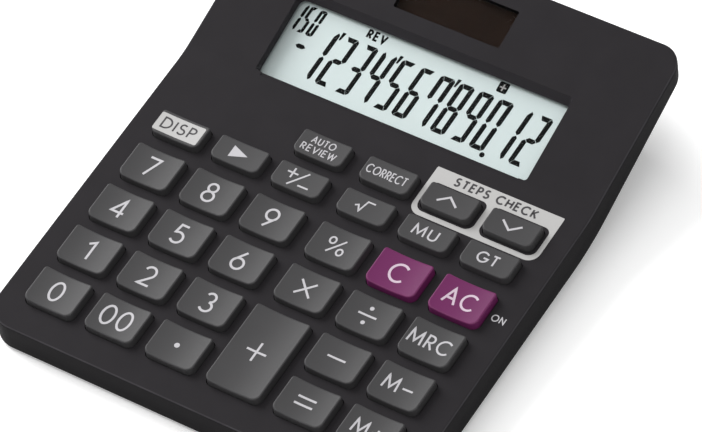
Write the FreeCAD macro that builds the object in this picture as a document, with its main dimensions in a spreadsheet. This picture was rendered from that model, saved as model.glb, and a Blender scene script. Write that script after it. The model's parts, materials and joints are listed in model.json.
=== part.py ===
"""Solar desk calculator: a two-part case with a raised display and thirty-three sprung keys.

Frame: millimetres, +Z up. The origin is on the table under the middle of the case, the user
sits on the -Y side. The keys stand on a plane tilted by key_tilt that starts at the front top
edge, and the display lies on a steeper plane that starts at the bend.
"""
import FreeCAD, Part
import math
import os
import re
import Sketcher
from FreeCAD import Placement, Rotation, Vector

# Driving dimensions in millimetres and degrees.
DIMENSIONS = {
    "case_width": 126.5,
    "case_length": 147.0,
    "front_height": 10.0,        # table to the front top edge
    "key_tilt": 3.0,
    "display_tilt": 14.9,
    "bend_distance": 96.3,       # front top edge to the bend, along the key plane
    "bend_radius": 30.0,
    "front_corner": 8.0,         # corner radii of the case seen from above
    "rear_corner": 6.5,
    "edge_round": 0.6,
    "wall": 2.2,
    "front_wall": 2.7,
    "top_wall": 1.8,
    "skirt": 4.2,                # depth of the upper case's side wall
    "floor_wall": 1.6,
    "belly_front": 1.0,          # underside's height at the front, at its knee and at the rear
    "belly_knee": 5.0,
    "belly_knee_y": 21.5,
    "belly_rear": 23.2,
    "belly_radius": 58.0,
    "belly_round": 0.5,
    "stand_height": 1.0,         # table to the underside of the stand below the display
    "stand_taper": 28.0,
    "stand_half_width": 50.9,
    "stand_front": -1.0,
    "stand_rear": 61.0,
    "stand_corner": 6.0,
    "column_pitch": 18.79,
    "first_column": -48.33,
    "fourth_column": 9.58,
    "row_pitch": 14.89,
    "first_row": 14.28,          # front top edge to the frontmost key row
    "front_low_row": 72.7,       # the two rows of low keys behind the others
    "rear_low_row": 84.0,
    "cap_width": 15.25,          # key cap where it meets its flange
    "cap_depth": 11.56,
    "low_cap_depth": 7.9,
    "tall_extra": 1.5,           # how far the tall key runs past its column, to the left
    "cap_height": 2.45,          # key top above the panel
    "cap_corner": 2.2,
    "cap_rear_corner": 1.0,
    "cap_draft": 2.5,
    "cap_round": 0.4,
    "cap_wall": 1.4,
    "cap_roof": 0.4,             # height of the cap's hollow above the panel
    "stem_radius": 1.6,
    "dish_depth": 0.75,
    "low_dish_depth": 0.3,
    "dish_margin": 0.3,          # how far a dish would reach past its cap's sides
    "key_gap": 0.16,             # clearance round a key in its opening
    "flange_margin": 0.7,
    "flange_thickness": 0.7,
    "flange_top": 2.0,           # depths below the panel's top face
    "mat_top": 4.1,
    "mat_thickness": 0.6,
    "dome_radius": 3.4,
    "dome_tip_radius": 2.2,
    "dome_height": 1.3,
    "board_thickness": 1.0,
    "board_width": 110.4,
    "board_front": 5.5,
    "board_rear": 90.0,
    "post_radius": 1.75,
    "screw_radius": 0.95,
    "screw_head_radius": 1.9,
    "screw_head_height": 0.9,
    "pilot_extra": 0.03,         # how much wider a screw's pilot hole is than its thread
    "hole_extra": 0.2,           # how much wider a screw's clearance hole is
    "slot_length": 1.6,
    "slot_width": 0.5,
    "slot_corner": 0.2,
    "board_screw_length": 3.2,
    "board_pilot": 2.6,
    "display_screw_length": 4.2,
    "display_pilot": 3.2,
    "window_width": 84.2,
    "window_front": 3.1,         # bend to the window's front edge, along the display plane
    "window_rear": 29.2,
    "window_depth": 3.0,
    "window_corner": 2.2,
    "window_mouth_corner": 0.8,
    "window_overrun": 0.6,       # how far the recess is cut past the panel, above and below
    "rear_bevel": 1.7,
    "front_bevel": 1.1,
    "bezel_margin": 2.6,
    "lens_thickness": 1.0,
    "lens_margin": 1.6,
    "glass_top": 4.3,
    "glass_thickness": 1.8,
    "reflector_front": 5.0,
    "reflector_thickness": 0.15,
    "bracket_gap": 0.3,          # glass to bracket, where the reflector lies
    "bracket_width": 99.0,
    "bracket_front": 1.6,
    "bracket_rear": 31.4,
    "bracket_thickness": 1.4,
    "bracket_opening_width": 70.0,
    "bracket_opening_depth": 16.0,
    "bracket_corner": 2.0,
    "cable_width": 56.0,
    "cable_thickness": 0.15,
    "cable_start": 85.5,         # along the key plane, to where the cable leaves the board
    "cable_leave": 91.0,
    "cable_arrive": 1.2,         # along the display plane, to where the cable meets the glass
    "cable_end": 4.6,
    "solar_width": 32.8,
    "solar_front": 34.1,
    "solar_rear": 45.8,
    "solar_corner": 0.6,
    "solar_recess": 0.8,
    "solar_flange": 1.5,         # how far the cover's flange reaches past the opening
    "solar_flange_thickness": 0.7,
    "flange_corner": 1.0,
    "cell_depth": 2.6,           # panel to the solar cell's face
    "cell_thickness": 1.1,
    "pad_depth": 3.75,
    "pad_thickness": 1.5,
    "plate_corner": 0.5,
    "board_corner": 2.0,
    "mat_hole_extra": 0.35,
    "foot_radius": 5.0,
    "foot_round": 0.4,
    "capacitor_radius": 2.0,
    "capacitor_height": 3.6,
    "contact_width": 7.0,
    "contact_depth": 9.0,
    "contact_corner": 1.0,
    "contact_thickness": 0.3,
    "battery_radius": 5.8,
    "battery_height": 3.1,
    "battery_round": 0.4,
    "battery_drop": 0.35,        # board to the button cell's upper face
    "clip_reach": 6.2,           # the clip's half width, and its half width over its feet
    "clip_foot": 7.6,
    "clip_drop": 3.5,
    "clip_width": 5.0,
}

MARGIN = 10.0  # how far a cutting outline runs past the solid
ALIAS = re.compile(r"\b(" + "|".join(DIMENSIONS) + r")\b")

# Expressions, in the sheet's own names, for sizes that several pieces share.
BEND_Y = "(-case_length/2 + bend_distance*cos(key_tilt))"
BEND_Z = "(front_height + bend_distance*sin(key_tilt))"
TOTAL_HEIGHT = f"({BEND_Z} + (case_length/2 - {BEND_Y})*tan(display_tilt))"
BOARD_TOP = "(mat_top + mat_thickness)"
BOARD_BOTTOM = f"({BOARD_TOP} + board_thickness)"
GLASS_BOTTOM = "(glass_top + glass_thickness)"

# The planes that pieces stand on: tilt, then the plane's zero point.
PLANES = {
    "table": ("0", "0", "0"),
    "keys": ("key_tilt", "-case_length/2", "front_height"),
    "display": ("display_tilt", BEND_Y, BEND_Z),
}

# Key caps. Columns count from the left and rows from the front.
KEY_GRID = [
    ["key_0", "key_00", "key_point", None, "key_equals", "key_memory_plus"],
    ["key_1", "key_2", "key_3", None, "key_minus", "key_memory_minus"],
    ["key_4", "key_5", "key_6", "key_multiply", "key_divide", "key_memory_recall"],
    ["key_7", "key_8", "key_9", "key_percent", "key_clear", "key_all_clear"],
    ["key_display", "key_shift_right", "key_sign", "key_root", "key_mark_up", "key_grand_total"],
    [None, None, "key_auto_review", "key_correct", "key_up", "key_down"],
]
LOW_ROWS = {4: "front_low_row", 5: "rear_low_row"}
TALL_KEY = "key_plus"

doc = FreeCAD.newDocument("calculator")
sheet = doc.addObject("Spreadsheet::Sheet", "Sheet")
for line, (alias, number) in enumerate(DIMENSIONS.items(), start=1):
    sheet.set(f"A{line}", alias)
    sheet.set(f"B{line}", str(number))
    sheet.setAlias(f"B{line}", alias)
doc.recompute()


def linked(text):
    """The expression with every dimension's name pointing at its cell."""
    return ALIAS.sub(r"Sheet.\1", str(text))


def value(text):
    """What an expression comes to with the sheet's present numbers."""
    return float(sheet.evalExpression(linked(text)))


def frame_on(plane, x="0", along="0", out="0"):
    """Expressions for a point on a plane: across, up the slope, and out of the plane."""
    tilt, zero_y, zero_z = PLANES[plane]
    y = f"{zero_y} + ({along})*cos({tilt}) - ({out})*sin({tilt})"
    z = f"{zero_z} + ({along})*sin({tilt}) + ({out})*cos({tilt})"
    return x, y, z, tilt


def place(thing, frame, field="Placement"):
    """Bind a placement, or a sketch's attachment offset, to a frame."""
    x, y, z, tilt = frame
    spot = Vector(value(x), value(y), value(z))
    setattr(thing, field, Placement(spot, Rotation(Vector(1, 0, 0), value(tilt))))
    for axis, text in zip("xyz", (x, y, z)):
        thing.setExpression(f"{field}.Base.{axis}", linked(text))
    if tilt != "0":
        thing.setExpression(f"{field}.Rotation.Angle", linked(tilt))


class Piece:
    """One sub-part, built as a body of sketches and features."""

    def __init__(self, name, frame=None):
        self.body = doc.addObject("PartDesign::Body", name)
        self.body.Label = name
        if frame:
            place(self.body, frame)

    def sketch(self, frame=None, role="XY_Plane"):
        plane = [item for item in self.body.Origin.OriginFeatures if item.Role == role][0]
        sketch = self.body.newObject("Sketcher::SketchObject", f"{self.body.Name}_sketch")
        sketch.AttachmentSupport = [(plane, "")]
        sketch.MapMode = "FlatFace"
        if frame:
            place(sketch, frame, "AttachmentOffset")
        return sketch

    def _extrude(self, kind, profile, length, both, taper, reverse):
        feature = self.body.newObject(f"PartDesign::{kind}", f"{self.body.Name}_{kind.lower()}")
        feature.Profile = profile
        feature.setExpression("Length", linked(length))
        feature.SideType = "Symmetric" if both else "One side"
        feature.Reversed = reverse
        if taper:
            feature.setExpression("TaperAngle", linked(taper))
        profile.Visibility = False
        doc.recompute()
        return feature

    def pad(self, profile, length, both=False, taper=None, reverse=False):
        return self._extrude("Pad", profile, length, both, taper, reverse)

    def pocket(self, profile, length, both=False, taper=None, reverse=False):
        """Cut a profile out, and make sure that it met the solid."""
        before = self.body.Shape.Volume
        feature = self._extrude("Pocket", profile, length, both, taper, reverse)
        if before - self.body.Shape.Volume < 1e-3:
            raise RuntimeError(f"{feature.Name} cuts nothing")
        return feature

    def soften(self, kind, size, wanted):
        """Fillet or chamfer the edges that wanted(edge) picks out of the present shape."""
        base = self.body.Tip
        local = base.Shape
        names = [f"Edge{i}" for i, edge in enumerate(local.Edges, start=1) if wanted(edge)]
        if not names:
            raise RuntimeError(f"no edge of {self.body.Name} to soften")
        feature = self.body.newObject(f"PartDesign::{kind}", f"{self.body.Name}_{kind.lower()}")
        feature.Base = (base, names)
        feature.setExpression("Radius" if kind == "Fillet" else "Size", linked(size))
        doc.recompute()
        return feature

    def carve_between(self, first, last):
        """Cut out the solid between two outlines of the same kind."""
        before = self.body.Shape.Volume
        feature = self.body.newObject("PartDesign::SubtractiveLoft", f"{self.body.Name}_loft")
        feature.Profile = first
        feature.Sections = [last]
        feature.Ruled = True
        first.Visibility = False
        last.Visibility = False
        doc.recompute()
        if before - self.body.Shape.Volume < 1e-3:
            raise RuntimeError(f"{feature.Name} cuts nothing")
        return feature

    def turn(self, kind, profile):
        """Revolve a profile about its own vertical axis."""
        feature = self.body.newObject(f"PartDesign::{kind}", f"{self.body.Name}_{kind.lower()}")
        feature.Profile = profile
        feature.ReferenceAxis = (profile, ["V_Axis"])
        feature.Angle = 360
        profile.Visibility = False
        doc.recompute()
        return feature


def bind_point(sketch, geometry, end, x, y):
    """Fix one end of a line at a place given by two expressions."""
    for kind, text in (("DistanceX", x), ("DistanceY", y)):
        index = sketch.addConstraint(Sketcher.Constraint(kind, geometry, end, value(text)))
        sketch.setExpression(f"Constraints[{index}]", linked(text))


def polygon(sketch, corners):
    """A closed outline of straight lines through corners given as expressions."""
    spots = [Vector(value(x), value(y), 0) for x, y in corners]
    first = sketch.GeometryCount
    count = len(spots)
    for i in range(count):
        sketch.addGeometry(Part.LineSegment(spots[i], spots[(i + 1) % count]))
    for i in range(count):
        joint = (first + i, 2, first + (i + 1) % count, 1)
        sketch.addConstraint(Sketcher.Constraint("Coincident", *joint))
    for i, (x, y) in enumerate(corners):
        bind_point(sketch, first + i, 1, x, y)
    return sketch


def box_outline(sketch, x_low, x_high, y_low, y_high):
    """A plain rectangle between two pairs of expressions."""
    return polygon(sketch, [(x_low, y_low), (x_high, y_low), (x_high, y_high), (x_low, y_high)])


def rounded_box(sketch, width, depth, low_radius, high_radius=None, centre=("0", "0")):
    """A rectangle with tangent corner arcs, whose +Y corners may have a radius of their own."""
    high_radius = high_radius or low_radius
    cx, cy = value(centre[0]), value(centre[1])
    half_w, half_d = value(width) / 2, value(depth) / 2
    low, high = value(low_radius), value(high_radius)
    quarter = math.pi / 2
    up = Vector(0, 0, 1)
    corners = [(half_w, -half_d, low, 3), (half_w, half_d, high, 0),
               (-half_w, half_d, high, 1), (-half_w, -half_d, low, 2)]
    first = sketch.GeometryCount
    arcs = []
    for x, y, radius, turn in corners:
        middle = Vector(cx + x - math.copysign(radius, x), cy + y - math.copysign(radius, y), 0)
        circle = Part.Circle(middle, up, radius)
        arcs.append(Part.ArcOfCircle(circle, turn * quarter, (turn + 1) * quarter))
    for i, arc in enumerate(arcs):
        before = arcs[i - 1]
        sketch.addGeometry(Part.LineSegment(before.EndPoint, arc.StartPoint))
        sketch.addGeometry(arc)
    for i in range(4):
        line = first + 2 * i
        arc = line + 1
        following = first + 2 * ((i + 1) % 4)
        sketch.addConstraint(Sketcher.Constraint("Tangent", line, 2, arc, 1))
        sketch.addConstraint(Sketcher.Constraint("Tangent", arc, 2, following, 1))
        sketch.addConstraint(Sketcher.Constraint("Horizontal" if i % 2 == 0 else "Vertical", line))
        radius = low_radius if i in (0, 3) else high_radius
        index = sketch.addConstraint(Sketcher.Constraint("Radius", arc, value(radius)))
        sketch.setExpression(f"Constraints[{index}]", linked(radius))
    low_corner = (f"({centre[0]}) - ({width})/2", f"({centre[1]}) - ({depth})/2")
    high_corner = (f"({centre[0]}) + ({width})/2", f"({centre[1]}) + ({depth})/2")
    sides = (("DistanceY", low_corner[1]), ("DistanceX", high_corner[0]),
             ("DistanceY", high_corner[1]), ("DistanceX", low_corner[0]))
    for i, (kind, text) in enumerate(sides):
        index = sketch.addConstraint(Sketcher.Constraint(kind, first + 2 * i, 1, value(text)))
        sketch.setExpression(f"Constraints[{index}]", linked(text))
    return sketch


def discs(sketch, radius, centres):
    """Equal circles at centres given as pairs of expressions."""
    for x, y in centres:
        middle = Vector(value(x), value(y), 0)
        circle = sketch.addGeometry(Part.Circle(middle, Vector(0, 0, 1), value(radius)))
        index = sketch.addConstraint(Sketcher.Constraint("Radius", circle, value(radius)))
        sketch.setExpression(f"Constraints[{index}]", linked(radius))
        bind_point(sketch, circle, 3, x, y)
    return sketch


def surface_line(depth, y_front="-case_length/2", y_rear="case_length/2"):
    """Front, bend and rear points of the case's top line, sunk by a depth along its normals."""
    half_turn = "(display_tilt - key_tilt)/2"
    mean = "(display_tilt + key_tilt)/2"
    bend = (f"{BEND_Y} + ({depth})*sin({mean})/cos({half_turn})",
            f"{BEND_Z} - ({depth})*cos({mean})/cos({half_turn})")
    front_z = f"front_height - ({depth})/cos(key_tilt) + ({y_front} + case_length/2)*tan(key_tilt)"
    rear_z = f"{BEND_Z} - ({depth})/cos(display_tilt) + ({y_rear} - {BEND_Y})*tan(display_tilt)"
    return [(y_front, front_z), bend, (y_rear, rear_z)]


def region_above(depth):
    """Everything over the case's top line, sunk by a depth, as an outline in the side view."""
    line = surface_line(depth, f"-case_length/2 - {MARGIN}", f"case_length/2 + {MARGIN}")
    roof = f"{TOTAL_HEIGHT} + {2 * MARGIN}"
    return line + [(line[2][0], roof), (line[0][0], roof)]


def region_below(depth):
    """Everything under the case's top line, sunk by a depth, as an outline in the side view."""
    line = surface_line(depth, f"-case_length/2 - {MARGIN}", f"case_length/2 + {MARGIN}")
    return line + [(line[2][0], f"-{MARGIN}"), (line[0][0], f"-{MARGIN}")]


def across(edge):
    """True for a straight edge that runs along X."""
    box = edge.BoundBox
    return box.XLength > 1.0 and box.YLength < 1e-4 and box.ZLength < 1e-4


def upright(edge):
    """True for a straight edge that runs along Z."""
    box = edge.BoundBox
    return box.ZLength > 0.5 and box.XLength < 1e-4 and box.YLength < 1e-4


def top_height(y, depth=0.0):
    """Height of the case's top line at y, less a vertical depth, as a number."""
    if y < value(BEND_Y):
        return value("front_height") + (y + value("case_length") / 2) * value("tan(key_tilt)") - depth
    return value(BEND_Z) + (y - value(BEND_Y)) * value("tan(display_tilt)") - depth


def key_places():
    """Name, centre across, centre up the slope, cap width and cap depth of every key."""
    places = []
    for row, names in enumerate(KEY_GRID):
        along = LOW_ROWS.get(row, f"first_row + {row}*row_pitch")
        depth = "low_cap_depth" if row in LOW_ROWS else "cap_depth"
        for column, name in enumerate(names):
            start = "first_column" if column < 3 else "fourth_column"
            if name:
                places.append((name, f"{start} + {column % 3}*column_pitch", along, "cap_width", depth))
    places.append((TALL_KEY, "fourth_column - tall_extra/2", "first_row + row_pitch/2",
                   "(cap_width + tall_extra)", "(cap_depth + row_pitch)"))
    return places


# Screw posts for the main board, across and up the key plane, between the key flanges.
LEFT_GAP = "(first_column + column_pitch/2)"
MIDDLE_GAP = "((first_column + 2*column_pitch + fourth_column - tall_extra)/2)"
RIGHT_GAP = "(fourth_column + 1.5*column_pitch)"
BOARD_POSTS = [
    (LEFT_GAP, "(first_row + row_pitch/2)"),
    (RIGHT_GAP, "(first_row + row_pitch/2)"),
    (MIDDLE_GAP, "(first_row + 1.5*row_pitch)"),
    (LEFT_GAP, "(first_row + 2.5*row_pitch)"),
    (RIGHT_GAP, "(first_row + 2.5*row_pitch)"),
    ("(first_column + column_pitch)", "rear_low_row"),
    (RIGHT_GAP, "((rear_low_row + front_low_row)/2)"),
]
# Screw posts for the display bracket, across and up the display plane.
DISPLAY_POSTS = [(f"{side}*46.9", along) for side in (-1, 1) for along in ("4", "28.5")]
# Case screws: across, along the table, height of the head's seat, height of the joint.
CASE_SCREWS = [(side * x, y, seat, joint) for side in (-1, 1)
               for x, y, seat, joint in ((58.9, -66.0, 2.7, 4.6), (58.9, 2.0, 5.6, 8.5),
                                         (38.0, 58.0, 3.0, 9.0))]
STAND_SCREW_X = 50.0     # case screws nearer the middle than this stand in the stand
CASE_POST_RADIUS = 2.0
CASE_BOSS_RADIUS = 3.2
CASE_HEAD_RADIUS = 2.3
CASE_HEAD_HEIGHT = 1.2
CASE_HEAD_ROOM = 0.2     # clearance round a case screw's head and shank
CASE_SHANK_LENGTH = 4.0
CASE_SHANK_RADIUS = 1.0
CASE_THREAD_FIT = 0.03
CASE_PILOT_ROOM = 0.3    # how much deeper a pilot hole is than its screw
CASE_PILOT_ROOF = 0.4    # material left over a pilot hole
CASE_SLOT_LENGTH = 2.6
CASE_SLOT_WIDTH = 0.6
FIT = 0.08               # clearance between pieces that lie against each other
OVERLAP = 0.1            # how far a pad starts inside the solid that it joins
FEET = [(side * x, y) for side in (-1, 1) for x, y in ((46.0, -61.0), (41.0, 50.0))]
FOOT_SEAT = 0.5          # how deep a foot sits in the case

# Pieces under the board, across and up the key plane.
CONTROLLER_SPOT = ("15", "60")
CAPACITOR_SPOT = ("46", "86")
BATTERY_SPOT = ("-42", "85")
CONTROLLER_PROFILE = [("0", "0"), ("5.5", "0"), ("5.2", "-0.6"), ("3.6", "-1.2"), ("0", "-1.4")]

# The solar cell's leads: plane, distance across, distance up the plane, height over the plane.
LEAD_RADIUS = 0.5
LEAD_ROUTE = [
    ("display", "12", "solar_front + 4", "-5.4"),
    ("display", "12", "solar_front + 4", "-11"),
    ("display", "32", "20", "-11"),
    ("display", "32", "3", "-12"),
    ("keys", "32", "86.5", "-9.5"),
    ("keys", "32", "86.5", f"-{BOARD_BOTTOM} - {FIT}"),
]
LEAD_BEND = 0.45         # share of a straight run that each of its bends may use up

RIM_REACH = 4.0          # edges this near the outline belong to the rim
TOP_RIM_BAND = 0.8       # and these are the height bands in which the rims' edges lie
BELLY_RIM_BAND = 0.9
BELLY_RIM_END = 60.0

SOLAR_MIDDLE = "((solar_front + solar_rear)/2)"


def round_inner_corners(piece, front_only=False):
    """Round the upright corners of a case half's cavity to run level with its outside."""
    inner_x = value("case_width/2 - wall")
    ends = [("-case_length/2 + front_wall", "front_corner - wall"),
            ("case_length/2 - wall", "rear_corner - wall")]
    for inner_y, radius in ends[:1] if front_only else ends:
        y = value(inner_y)

        def at_corner(edge):
            middle = edge.CenterOfMass
            return upright(edge) and abs(abs(middle.x) - inner_x) < 0.1 and abs(middle.y - y) < 0.1

        piece.soften("Fillet", radius, at_corner)


def window_section(piece, out, corner):
    """Outline of the display recess at a height over the display plane: its rear wall slants."""
    rear = f"(window_rear - rear_bevel*(0 - ({out}))/window_depth)"
    middle = f"((window_front + {rear})/2)"
    return rounded_box(piece.sketch(frame_on("display", out=out)), "window_width", f"({rear} - window_front)",
                       corner, centre=("0", middle))


def make_upper_case():
    """Top panel with its skirt, key openings, display recess, solar opening and screw posts."""
    piece = Piece("upper_case")
    wide = f"case_width + {MARGIN}"
    outline = rounded_box(piece.sketch(), "case_width", "case_length", "front_corner", "rear_corner")
    piece.pad(outline, TOTAL_HEIGHT)
    piece.pocket(polygon(piece.sketch(role="YZ_Plane"), region_above("0")), wide, both=True)
    bend_y = value(BEND_Y)
    piece.soften("Fillet", "bend_radius",
                 lambda edge: across(edge) and abs(edge.CenterOfMass.y - bend_y) < 0.1)
    piece.pocket(polygon(piece.sketch(role="YZ_Plane"), region_below("skirt")), wide, both=True)
    half_width, half_length = value("case_width/2"), value("case_length/2")

    def on_top_rim(edge):
        middle = edge.CenterOfMass
        near_rim = abs(middle.x) > half_width - RIM_REACH or abs(middle.y) > half_length - RIM_REACH
        in_band = abs(middle.z - top_height(middle.y)) < TOP_RIM_BAND
        return near_rim and in_band and not upright(edge)

    piece.soften("Fillet", "edge_round", on_top_rim)

    inner = surface_line("top_wall", "-case_length/2 + front_wall", "case_length/2 - wall")
    cavity = inner + [(inner[2][0], f"-{MARGIN}"), (inner[0][0], f"-{MARGIN}")]
    piece.pocket(polygon(piece.sketch(role="YZ_Plane"), cavity), "case_width - 2*wall", both=True)
    round_inner_corners(piece)

    bezel = piece.sketch(frame_on("display", out="-top_wall/2"))
    box_outline(bezel, "-window_width/2 - bezel_margin", "window_width/2 + bezel_margin",
                "window_front - bezel_margin", "window_rear + bezel_margin")
    piece.pad(bezel, "window_depth - top_wall/2", reverse=True)
    posts = discs(piece.sketch(frame_on("keys", out="-top_wall/2")), "post_radius", BOARD_POSTS)
    piece.pad(posts, f"{BOARD_TOP} - top_wall/2", reverse=True)
    posts = discs(piece.sketch(frame_on("display", out="-top_wall/2")), "post_radius", DISPLAY_POSTS)
    piece.pad(posts, f"{GLASS_BOTTOM} + bracket_gap - top_wall/2", reverse=True)
    for x, y, seat, joint in CASE_SCREWS:
        post = discs(piece.sketch(("0", "0", str(joint), "0")), str(CASE_POST_RADIUS), [(str(x), str(y))])
        piece.pad(post, str(top_height(y, value("top_wall/2")) - joint))

    for row in range(len(KEY_GRID)):
        openings = piece.sketch(frame_on("keys"))
        for name, x, along, width, depth in key_places():
            if name in KEY_GRID[row] or (name == TALL_KEY and row == 0):
                rounded_box(openings, f"{width} + 2*key_gap", f"{depth} + 2*key_gap",
                            "cap_corner + key_gap", "cap_rear_corner + key_gap", (x, along))
        piece.pocket(openings, "2*flange_top", both=True)

    mouth = window_section(piece, "window_overrun", "window_mouth_corner")
    floor = window_section(piece, "-window_depth - window_overrun", "window_corner")
    piece.carve_between(mouth, floor)
    bevel = [("window_front - front_bevel", "0"), ("window_front", "-front_bevel/2"),
             ("window_front + 1", "-front_bevel/2"), ("window_front + 1", "1"),
             ("window_front - front_bevel", "1")]
    corners = [frame_on("display", along=along, out=out)[1:3] for along, out in bevel]
    piece.pocket(polygon(piece.sketch(role="YZ_Plane"), corners), "window_width - 2*window_corner",
                 both=True)
    opening = piece.sketch(frame_on("display", along=SOLAR_MIDDLE))
    rounded_box(opening, "solar_width", "solar_rear - solar_front", "solar_corner")
    piece.pocket(opening, "4*top_wall", both=True)

    pilots = piece.sketch(frame_on("keys", out=f"-{BOARD_TOP}"))
    discs(pilots, "screw_radius + pilot_extra", BOARD_POSTS)
    piece.pocket(pilots, "board_pilot", reverse=True)
    pilots = piece.sketch(frame_on("display", out=f"-{GLASS_BOTTOM} - bracket_gap"))
    discs(pilots, "screw_radius + pilot_extra", DISPLAY_POSTS)
    piece.pocket(pilots, "display_pilot", reverse=True)
    for x, y, seat, joint in CASE_SCREWS:
        pilot = piece.sketch(("0", "0", str(joint), "0"))
        discs(pilot, str(CASE_SHANK_RADIUS + CASE_THREAD_FIT), [(str(x), str(y))])
        piece.pocket(pilot, str(pilot_depth(y, joint)), reverse=True)
    return piece.body


def pilot_depth(y, joint):
    """How far a case screw's pilot hole may run up its post from the joint."""
    return min(CASE_SHANK_LENGTH, top_height(y, value("top_wall")) - joint - CASE_PILOT_ROOF)


def make_lower_case():
    """Tray under the keys, thin shelf and hollow stand under the display, and screw bosses."""
    piece = Piece("lower_case")
    wide = f"case_width + {MARGIN}"
    outline = rounded_box(piece.sketch(), "case_width", "case_length", "front_corner", "rear_corner")
    piece.pad(outline, TOTAL_HEIGHT)
    piece.pocket(polygon(piece.sketch(role="YZ_Plane"), region_above("skirt")), wide, both=True)
    piece.pocket(polygon(piece.sketch(role="YZ_Plane"), belly_region("0", MARGIN)), wide, both=True)
    knee_y = value("belly_knee_y")
    knee_z = value("belly_knee")
    piece.soften("Fillet", "belly_radius", lambda edge: across(edge) and abs(edge.CenterOfMass.y - knee_y) < 0.1
                 and abs(edge.CenterOfMass.z - knee_z) < 0.1)
    half_width, half_length = value("case_width/2"), value("case_length/2")

    def on_belly_rim(edge):
        middle = edge.CenterOfMass
        near_rim = abs(middle.x) > half_width - RIM_REACH or abs(middle.y) > half_length - RIM_REACH
        in_band = abs(middle.z - belly_height(middle.y)) < BELLY_RIM_BAND
        return near_rim and in_band and not upright(edge) and middle.y < BELLY_RIM_END

    piece.soften("Fillet", "belly_round", on_belly_rim)
    stand = piece.sketch(("0", "0", "stand_height", "0"))
    stand_outline(stand, "0")
    piece.pad(stand, f"{TOTAL_HEIGHT} - stand_height", taper="stand_taper")
    piece.pocket(polygon(piece.sketch(role="YZ_Plane"), region_above("skirt")), wide, both=True)

    front, knee = belly_region("floor_wall", MARGIN)[:2]
    roof = f"{TOTAL_HEIGHT}"
    front_slope = "(belly_knee - belly_front)/(belly_knee_y + case_length/2)"
    front_z = f"({front[1]}) + ({MARGIN} + front_wall)*{front_slope}"
    end_y = "stand_rear"
    end_z = f"({knee[1]}) + ({end_y} - ({knee[0]}))*(belly_rear - belly_knee)/(case_length/2 - belly_knee_y)"
    tray = [("-case_length/2 + front_wall", front_z), knee, (end_y, end_z), (end_y, roof),
            ("-case_length/2 + front_wall", roof)]
    piece.pocket(polygon(piece.sketch(role="YZ_Plane"), tray), "case_width - 2*wall", both=True)
    round_inner_corners(piece, front_only=True)
    hollow_height = "stand_height + floor_wall"
    inside = piece.sketch(("0", "0", hollow_height, "0"))
    stand_outline(inside, "floor_wall")
    piece.pocket(inside, f"{TOTAL_HEIGHT}", taper="stand_taper", reverse=True)

    for x, y, seat, joint in CASE_SCREWS:
        spot = [(str(x), str(y))]
        floor = belly_height(y) if abs(x) > STAND_SCREW_X else value("stand_height")
        start = floor + value("floor_wall") / 2
        boss = discs(piece.sketch(("0", "0", str(start), "0")), str(CASE_BOSS_RADIUS), spot)
        piece.pad(boss, str(joint - FIT - start))
        bore = discs(piece.sketch(("0", "0", "0", "0")), str(CASE_HEAD_RADIUS + CASE_HEAD_ROOM), spot)
        piece.pocket(bore, str(seat), reverse=True)
        hole = discs(piece.sketch(("0", "0", "0", "0")), str(CASE_SHANK_RADIUS + CASE_HEAD_ROOM), spot)
        piece.pocket(hole, str(joint), reverse=True)
    for x, y in FEET:
        seat_z = foot_base(y) + FOOT_SEAT
        seat = discs(piece.sketch(("0", "0", "0", "0")), "foot_radius + 0.1", [(str(x), str(y))])
        piece.pocket(seat, str(seat_z), reverse=True)
    return piece.body


def belly_height(y):
    """Height of the lower case's underside at y, as a number."""
    knee_y, knee = value("belly_knee_y"), value("belly_knee")
    if y < knee_y:
        return value("belly_front") + (knee - value("belly_front")) * (y + value("case_length/2")) / (
            knee_y + value("case_length/2"))
    return knee + (value("belly_rear") - knee) * (y - knee_y) / (value("case_length/2") - knee_y)


def foot_base(y):
    """Height of the surface that a foot is let into: the stand, or the keyboard's underside."""
    return value("stand_height") if y > 0 else belly_height(y)


def belly_region(lift, margin):
    """Everything under the case, up to its underside lifted by some amount, in the side view."""
    slope_front = "(belly_knee - belly_front)/(belly_knee_y + case_length/2)"
    slope_rear = "(belly_rear - belly_knee)/(case_length/2 - belly_knee_y)"
    front = (f"-case_length/2 - {margin}", f"belly_front - {margin}*{slope_front} + {lift}")
    knee = (f"belly_knee_y - ({lift})*0.2", f"belly_knee + {lift}")
    rear = (f"case_length/2 + {margin}", f"belly_rear + {margin}*{slope_rear} + {lift}")
    return [front, knee, rear, (rear[0], f"-{margin}"), (front[0], f"-{margin}")]


def stand_outline(sketch, inset):
    """Footprint of the stand, drawn in by a wall thickness."""
    depth = f"(stand_rear - stand_front - 2*({inset}))"
    middle = ("0", "((stand_front + stand_rear)/2)")
    return rounded_box(sketch, f"(2*stand_half_width - 2*({inset}))", depth, f"stand_corner - {inset}",
                       centre=middle)


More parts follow.
